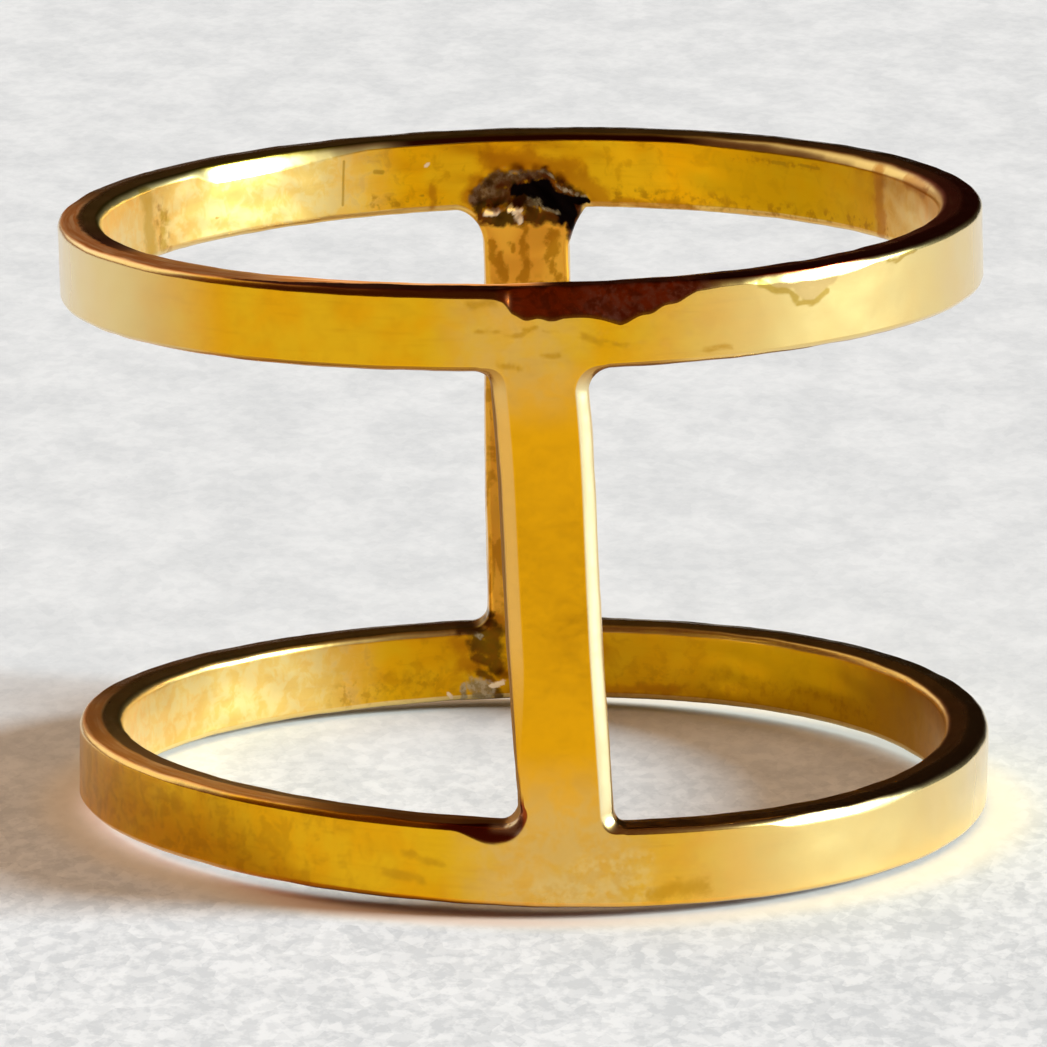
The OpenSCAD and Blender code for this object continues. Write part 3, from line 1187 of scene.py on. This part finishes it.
# %% Places
bar = mark["bar"]
inner = mark["inner"].step(0.3, 0.7)
outer = 1 - inner
front = away.step(0, -4)
upper = height.step(4, 8)
rim = mark["rim"].step(0.45, 0.9) * (1 - bar)
edge = mark["rim"].step(0.02, 0.14) * mark["rim"].step(1.0, 0.9)
tell("places")

# %% [markdown]
# A stroke's field falls evenly to its sides. With noise added before it is cut
# off, its border frays, as a stain's does.

# %% Stains
ragged = (fine - 0.5) * 0.6 + (mottle - 0.5) * 0.5


def stained(name, start, end, rag=1.2):
    """How strongly a mark shows: its field plus noise, between two levels,
    and nothing where the field is 0."""
    return (mark[name] + ragged * rag).step(start, end) * mark[name].step(0, 0.25)


tell("stains")

# %% [markdown]
# The gold leans to orange where it is thin and to yellow where it is thick. On
# the finger side it darkens towards the right, most of all on the lower band.

# %% Plating
thick = patches.step(0.35, 0.65) * (1 - 0.7 * bar * front)
base = tree.mix(COLOURS["orange gold"], COLOURS["yellow gold"], thick)
base = lay(base, "bar gold", bar * front * outer * 0.8)
base = lay(base, "brushed gold", along_band.step(0.5, 0.75) * (1 - bar) * 0.3)
base = lay(base, "spotted gold", mottle.step(0.5, 0.65) * (0.1 + 0.35 * inner))
shade = inner * side.step(-7, 1)
base = lay(base, "shaded gold", shade * (0.1 + 0.38 * (1 - upper)))
base = lay(base, "olive gold", inner * side.step(3, 5) * side.step(9.5, 8) * 0.6)
tell("plating")

# %% [markdown]
# The flanks of both bands are painted pale, a painted sheen where the sun
# grazes them. Over the front bar's joints the gold is khaki.

# %% Painted sheen and khaki places
# Painted sheen: the flanks of both bands, outside and on the finger side, are painted pale
flank_sheen = side.step(1.6, 6.0) * outer + inner * (side + 0.8 * (1 - upper)).step(-2.6, -5.0)
flank_sheen = flank_sheen + side.step(-5.6, -8.0) * outer * upper
flank_sheen = flank_sheen + side.step(7.9, 8.2) * inner * upper * 0.7
foot = (side - 0.4).size().step(2.4, 0.8) * height.step(3.4, 1.5) * front * outer
neck = (side + 0.1).size().step(1.8, 0.5) * height.step(9.6, 10.8) * front * outer
painted_sheen = flank_sheen * (0.7 + 0.3 * patches - 0.35 * inner * mottle.step(0.6, 0.4))
khaki = foot * (0.5 + 0.4 * mottle.step(0.35, 0.6)) + neck * (0.35 + 0.25 * mottle.step(0.35, 0.6))
tell("worn and khaki places")

# %% [markdown]
# The edges are painted pale too, as painted highlights. A painted shadow line
# runs under the top rim on the finger side, and the lower band's outside has
# darker mottled patches on the left.

# %% Edges of the bands
top_line = height.step(12.12, 12.28)
# Painted shadow: a dark line under the top rim on the finger side
shadow_line = edge * inner * top_line * side.step(-3.4, -2.4) * side.step(4.6, 3.6)
# Painted highlights: the edges of the bands are painted pale
edge_highlight = edge * (1 - bar) * (inner + side.step(-5.8, -6.6))
painted_sheen = painted_sheen.most(edge_highlight * 0.8)
base = lay(base, "khaki", khaki)
# Darker mottled patches on the left of the lower band's outside
darker_mottle = outer * side.step(-2.5, -4.5) * (1 - upper) * mottle.step(0.45, 0.6)
base = lay(base, "smoky gold", darker_mottle * 0.35)
# Lays the painted sheen and the painted edge highlights
base = lay(base, "worn gold", painted_sheen)
tell("edges of the bands")

# %% [markdown]
# The back bar's face is rosier, and the bars' side walls are paler, except for
# the front bar's left one, which is brown and dull. The bar's right bevel is
# painted pale, a painted highlight where it catches the sun, and its left one's
# painted highlight fades. The scoop beside the foot is painted a dark copper
# red, a painted dark reflection, with a painted highlight in its corner.

# %% Edges of the bars
base = lay(base, "rosy gold", bar * inner * 0.9)
side_wall = bar * mark["rim"].step(0.8, 1.0)
base = lay(base, "side gold", side_wall * 0.85)
# Lays the painted shadow line
base = lay(base, "dark line", shadow_line)
# Painted highlight on the front bar's bevels: full on the right one, fading on the left
bevel = bar * edge * outer * front
on_right = side.step(0.2, 0.6)
dull_wall = side_wall * front * (1 - on_right)
base = lay(base, "dull wall", dull_wall * 0.9)
bevel = bevel * (on_right + 0.25 * height.step(3, 6) * (1 - on_right))
base = lay(base, "bevel", bevel)
corner = (side + 0.66).size().step(0.36, 0.16) * (height - 1.8).size().step(0.35, 0.2)
# Painted dark reflection: the scoop beside the front foot is painted dark copper red
scoop = (side + 0.86).size().step(1.5, 0.8) * height.step(1.15, 1.35) * height.step(2.4, 2.1)
scoop = scoop * edge * outer * front
base = lay(base, "scoop", scoop * 0.95)
# Painted highlight in the scoop's corner
base = lay(base, "bright corner", corner * scoop)
tell("edges of the bars")

# %% [markdown]
# The finger side at the back carries the traces of the torch, from the faintest
# to the blackest: heat colours, blotches, pits, crust, soot, scale and ash, with
# painted glints and painted highlights on the crust's ridges.

# %% Burnt solder
back_in = inner * (1 - front)
base = lay(base, "heat colour", stained("tint", 0.0, 0.8) * back_in * 0.75)
marbled = (along_bar + ragged * 0.5).step(0.47, 0.6) * height.step(9.6, 9.2)
marbled = (marbled * 0.7).most(stained("blotch", 0.05, 0.7, 2.2)) * bar * back_in
base = lay(base, "blotch", marbled * 0.85)
pits = mark["pitted"].step(0, 0.7) * (blobs * 0.6 + fine * 0.4).step(0.48, 0.62) * back_in
base = lay(base, "pit", pits * (0.45 + 0.25 * upper))
crust_base = tree.mix(COLOURS["brown crust"], COLOURS["grey crust"], fine.step(0.4, 0.62))
base = tree.mix(base, crust_base, stained("crust", 0.0, 0.5, 1.0) * back_in * 0.93)
soot_base = tree.mix(COLOURS["red soot"], COLOURS["brown soot"], mottle.step(0.4, 0.6))
base = tree.mix(base, soot_base, stained("soot", 0.0, 0.7, 1.6) * back_in * (0.82 + 0.14 * upper))
char = stained("char", 0.0, 0.4, 0.9) * back_in
base = lay(base, "char", char)
# Flux residue, with painted glints and painted highlights on the crust's ridges
ash_and_glint_base = tree.mix(COLOURS["dark ash"], COLOURS["pale ash"], fine.step(0.4, 0.6))
base = tree.mix(base, ash_and_glint_base, stained("ash", 0.05, 0.7, 1.6) * back_in * 0.85)
# Painted glints: pale specks on the solder and a rim
bare = stained("bare", 0.1, 0.5, 0.25) * back_in
base = lay(base, "bare brass", bare * 0.9)
tell("burnt solder")

# %% [markdown]
# The front has brown smears, the torn flap of plating, a few crystals at the
# foot and a brown line along the upper band's edges. The finger side has
# scratches and dark upright bands.

# %% Smears, flap and scratches
outer_front = outer * front
base = lay(base, "smear", stained("smear", 0.05, 0.9, 1.5) * outer_front * 0.65)
base = lay(base, "veil", stained("veil", 0.0, 0.5) * outer_front * 0.6)
base = lay(base, "tear", stained("tear", 0.0, 0.6, 1.0) * outer_front * 0.85)
crystals = (blobs * 0.8 + fine * 0.2).step(0.42, 0.64) * mark["pale"].step(0, 0.8) * outer_front
base = lay(base, "crystal", crystals * 0.35)
scratch = (tree.strokes(paper, on_paper(SCRATCHES)) + ragged * 0.6).step(0.0, 0.7)
base = lay(base, "scratch", scratch * back_in * 0.65)
band_base = tree.mix(COLOURS["brown band"], COLOURS["khaki band"], side.step(2, -2))
base = tree.mix(base, band_base, stained("band", 0.0, 0.7) * inner * 0.75)
seam_line = edge * outer_front * side.step(-6.3, -4.3) * side.step(3.5, 2.5)
base = lay(base, "seam", seam_line * 0.8 * upper * (1 - bar))
tell("smears, flap and scratches")

# %% [markdown]
# The flat rims are painted dark, a painted reflection of the dark room: brown at
# the back, reddish brown in front and at the right, with filing streaks painted
# lighter, as the light they catch. Copper shows on the left: on the outer half
# of the lower rim, and on the inner half of the upper one as far as its left end.

# %% Flat rims
left_end = side.step(-7.6, -8.6)
low_copper = mark["inner"].step(0.56, 0.46) * side.step(-3.6, -5.4)
high_copper = mark["inner"] + ragged * 0.15 + (-3 - side).most(0) * 0.14
high_copper = high_copper.step(0.42, 0.52) * (1 - left_end) * side.step(0.9, 0.1)
high_copper = high_copper + left_end * (mark["inner"] + ragged * 0.2).step(0.5, 0.4)
copper = low_copper * (1 - upper) + high_copper * upper
copper = copper * away.step(3.5, 0.5)
# Painted dark reflection: the rims' browns, darkest at the lower right
brown = tree.mix(COLOURS["back rim"], COLOURS["front rim"], front)
right_brown = tree.mix(COLOURS["lower right rim"], COLOURS["upper right rim"], upper)
brown = tree.mix(brown, right_brown, side.step(2.0, 7.0) * (0.3 + 0.7 * away.step(5, 1)))
# Filing streaks, painted lighter as streaks of reflected light
streaks = along_band.step(0.55, 0.75) * (0.35 + 0.65 * side.step(-3, -6) * (1 - front))
brown = tree.mix(brown, COLOURS["brass streak"], streaks * 0.6)
copper_base = tree.mix(COLOURS["deep copper"], COLOURS["pale copper"], along_band.step(0.4, 0.65))
base = tree.mix(base, tree.mix(brown, copper_base, copper), rim)
tell("flat rims")

# %% [markdown]
# The wide facet at the front is exposed copper, red-brown, with pinkish patches
# painted on it as glints.

# %% The filed facet
facet = (mark["rim"].step(0.02, 0.2) + ragged * 0.3).least(1).most(0) * outer_front
facet = facet * height.step(11.0, 11.4) * side.step(-0.5, -0.2) * side.step(3.9, 3.3)
facet = facet * (1 - high_copper * mark["rim"].step(0.7, 0.95))
facet_base = tree.mix(COLOURS["red facet"], COLOURS["brown facet"], mottle.step(0.42, 0.6))
# Painted glints: pinkish patches on the right part of the facet
plum = side.step(0.9, 1.6) * fine.step(0.42, 0.62)
facet_base = tree.mix(facet_base, COLOURS["plum"], plum * 0.6)
base = tree.mix(base, facet_base, facet * 0.95)
tell("the filed facet")

# %% [markdown]
# The roughness changes little, except on burnt solder, on the brushed copper
# and on the front bar's dull wall. A gentle bump spreads the reflections as
# hand polishing does, and a thin clear film whitens the flanks most.

# %% Roughness, dents and film
burnt = (stained("crust", 0.0, 0.5, 1.0) * 0.7).most(char) * (1 - bare) * back_in
rough = 0.21 + 0.05 * mottle + 0.06 * inner - 0.08 * facet
brushed = copper * side.step(-6, -3.5) * upper
rough = rough + rim * copper * (0.12 + 0.2 * along_band) + rim * brushed * 0.45 + burnt * 0.25
rough = rough + dull_wall * 0.5
dents = tree.noise(where, 1.6, 2.0, 0.5)
relief = dents * 0.6 + mottle * 0.15
dented = tree.add("ShaderNodeBump", {}, {
    "Height": relief, "Strength": 0.5, "Distance": 0.00003})
lower_left = side.step(-4, -8) * outer * (1 - upper)
coat = (1 - mark["rim"].step(0.5, 0.9)) * (1 - burnt) * (1 - 0.6 * inner) * (1 - 0.6 * lower_left)
coat = coat * (0.35 + 0.65 * flank_sheen.least(1)) * (1 - inner * side.step(4.5, 7))
shader = tree.add("ShaderNodeBsdfPrincipled", {}, {
    "Base Color": base, "Metallic": 1.0, "Roughness": rough, "Normal": dented,
    "Coat Weight": coat, "Coat Roughness": 0.3, "Coat IOR": 1.28})
tree.add("ShaderNodeOutputMaterial", {}, {"Surface": shader})
ring.data.materials.append(material)
tell("finish")

# %% [markdown]
# ## The floor
# The ring stands on thick white paper: a flat square with a soft grain, large
# enough to fill the polished metal's view of it. Close to the lower band the
# paper is tinted warm, as if by the light that the gold throws on it.

# %% Floor
# The paper lies this far under the measured box, so light gets under the band
PAPER_GIVE = 0.12 * MM
# Half of its width, in metres
PAPER_HALF = 1.0
# Its darker and paler grain, the painted glow of the gold's light on it, and
# the painted warm shadow along the front of the band
PAPER = {
    "dark": (0.67, 0.685, 0.70), "pale": (0.875, 0.883, 0.89),
    "glow": (0.97, 0.89, 0.75), "contact": (0.90, 0.62, 0.46),
}


def make_floor(half):
    """A square of paper with its middle under the ring."""
    mesh = bpy.data.meshes.new("paper")
    corners = [(-half, -half, 0), (half, -half, 0), (half, half, 0), (-half, half, 0)]
    mesh.from_pydata(corners, [], [(0, 1, 2, 3)])
    floor = bpy.data.objects.new("paper", mesh)
    bpy.context.scene.collection.objects.link(floor)
    material = bpy.data.materials.new("white_paper")
    material.use_nodes = True
    tree = Tree(material.node_tree)
    where = tree.millimetres()
    x, y = tree.parts(where)[:2]
    flat = tree.stretch(where, (1, 0.55, 1))
    flakes = tree.add("ShaderNodeTexVoronoi", dict(voronoi_dimensions="2D"),
                      {"Vector": flat, "Scale": 3.2}, out="Color")
    specks = tree.add("ShaderNodeTexNoise", dict(noise_dimensions="2D"),
                      {"Vector": flat, "Scale": 2.8, "Detail": 3.0, "Roughness": 0.65})
    grain = specks.step(0.38, 0.6) * 0.55 + flakes.step(0.3, 0.7) * 0.45
    clouds = tree.add("ShaderNodeTexNoise", dict(noise_dimensions="2D"),
                      {"Vector": flat, "Scale": 0.5, "Detail": 1.0}).step(0.35, 0.65)
    near = 0.3 + 0.7 * y.step(14, -8)
    shade = 0.48 + (grain - 0.5) * near + (clouds - 0.5) * 0.3
    base = tree.mix(PAPER["dark"], PAPER["pale"], shade)
    from_wall = ((x * x + y * y) ** 0.5 - outer_r).size()
    base = tree.mix(base, PAPER["glow"], from_wall.step(1.4, 0.2) * 0.8)
    # Painted shadow: a warm shade along the front of the lower band
    contact = from_wall.step(1.0, 0.25) * y.step(-5, -8) * x.step(4, -1) * x.step(-7, -4)
    base = tree.mix(base, PAPER["contact"], contact * 0.6)
    shader = tree.add("ShaderNodeBsdfPrincipled", {}, {
        "Base Color": base, "Roughness": 0.9, "Specular IOR Level": 0.1})
    tree.add("ShaderNodeOutputMaterial", {}, {"Surface": shader})
    mesh.materials.append(material)
    return floor


floor = make_floor(PAPER_HALF)
floor.location.z = -PAPER_GIVE
print(f"the paper is {2 * PAPER_HALF:.0f} m wide and lies {PAPER_GIVE / MM:.2f} mm low")

# %% [markdown]
# ## Light
# A low sun comes from the right and a little from the front. The length of
# the shadows gives its height: 1.65 mm of band throws about 5.4 mm of shadow.
# A weak, warm and very wide lamp from above fills the shadows. The room around
# is dark and warm, which is why the flat rims look brown. Soft lamps alone
# would flatter the gold, but would lose the long shadows.

# %% Sun and fill
SUN_HEIGHT = math.radians(17)
SUN_SIDE = math.radians(5)


def aim(lamp, direction):
    """Turns a lamp so that its light arrives from a direction."""
    lamp.rotation_euler = Vector(direction).to_track_quat("Z", "Y").to_euler()


def sun(name, direction, strength, angle, tint, shine):
    """A far lamp of a given angular size."""
    data = bpy.data.lights.new(name, "SUN")
    data.energy = strength
    data.angle = math.radians(angle)
    data.color = tint
    lamp = bpy.data.objects.new(name, data)
    bpy.context.scene.collection.objects.link(lamp)
    lamp.visible_glossy = shine
    aim(lamp, direction)
    return lamp


to_sun = (math.cos(SUN_HEIGHT) * math.cos(SUN_SIDE),
          -math.cos(SUN_HEIGHT) * math.sin(SUN_SIDE),
          math.sin(SUN_HEIGHT))
low_sun = sun("low_sun", to_sun, strength=7.7, angle=18.0, tint=(0.77, 0.93, 1.03), shine=True)
soft_fill = sun("soft_fill", (-0.2, -0.1, 1), strength=0.98, angle=120,
                tint=(1.0, 0.74, 0.5), shine=False)
for lamp in (low_sun, soft_fill):
    print(f"{lamp.name}: strength {lamp.data.energy:.2f}")

# %% [markdown]
# Polished metal shows the room more than the lamps. The room is a few soft
# steps of colour around the ring, with a pale card at the back left for the
# edges on that side to mirror. The camera itself sees a plain pale background.

# %% Room
def make_room():
    """The world: dark and warm, and pale only where the camera looks at it."""
    world = bpy.data.worlds.new("room")
    world.use_nodes = True
    tree = Tree(world.node_tree)
    way = tree.add("ShaderNodeTexCoord", {}, {}, out="Generated")
    x, y, z = tree.parts(way)
    front = (0.085, 0.030, 0.016)
    back_left = (0.25, 0.11, 0.055)
    back_right = (0.012, 0.004, 0.002)
    back = tree.mix(back_left, back_right, x.step(-0.3, 0.06))
    room = tree.mix(front, back, y.step(-0.3, 0.6))
    card = x.step(-0.28, -0.42) * y.step(0.2, 0.34) * z.step(0.1, 0.2)
    room = tree.mix(room, (1.2, 1.1, 0.95), card)
    seen = tree.add("ShaderNodeLightPath", {}, {}, out="Is Camera Ray")
    light = tree.mix(room, (0.76, 0.76, 0.77), seen)
    shader = tree.add("ShaderNodeBackground", {}, {"Color": light, "Strength": 1.0})
    tree.add("ShaderNodeOutputWorld", {}, {"Surface": shader})
    bpy.context.scene.world = world
    return world


room = make_room()
print(f"the room has {len(room.node_tree.nodes)} nodes")
scene = bpy.context.scene
scene.view_settings.view_transform = "Standard"

# %% [markdown]
# ## Camera
# The camera was placed by fitting the two bands' edges to the photograph. It
# stands nineteen centimetres away with a long lens, looks twelve degrees
# down, and is turned by half a degree.

# %% Camera
# Width of the photograph and focal length, in pixels, and the sensor, in mm
PHOTO_SIDE = 1047
FOCAL_PIXELS = 9160
SENSOR = 36
# Distance to the point looked at, angle downward, roll, and that point
CAMERA_AWAY = 192.5
CAMERA_DOWN = math.radians(12.338)
CAMERA_ROLL = math.radians(0.45)
CAMERA_TARGET = np.array([-0.331, 0.0, 5.849 + FLOAT])


def make_camera():
    """Looks along (0, cos, -sin) of its angle, rolled about that line."""
    ahead = np.array([0, math.cos(CAMERA_DOWN), -math.sin(CAMERA_DOWN)])
    right = np.array([1.0, 0, 0])
    up = np.cross(right, ahead)
    turn, slip = math.cos(CAMERA_ROLL), math.sin(CAMERA_ROLL)
    right, up = turn * right + slip * up, turn * up - slip * right
    data = bpy.data.cameras.new("camera")
    data.sensor_width = SENSOR
    data.lens = SENSOR * FOCAL_PIXELS / PHOTO_SIDE
    data.clip_start = 0.01
    data.clip_end = 10
    camera = bpy.data.objects.new("camera", data)
    scene.collection.objects.link(camera)
    matrix = np.eye(4)
    matrix[:3, 0], matrix[:3, 1], matrix[:3, 2] = right, up, -ahead
    matrix[:3, 3] = (CAMERA_TARGET - CAMERA_AWAY * ahead) * MM
    camera.matrix_world = Matrix(matrix.tolist())
    scene.camera = camera
    print(f"lens {data.lens:.0f} mm, {CAMERA_AWAY:.0f} mm away")


make_camera()
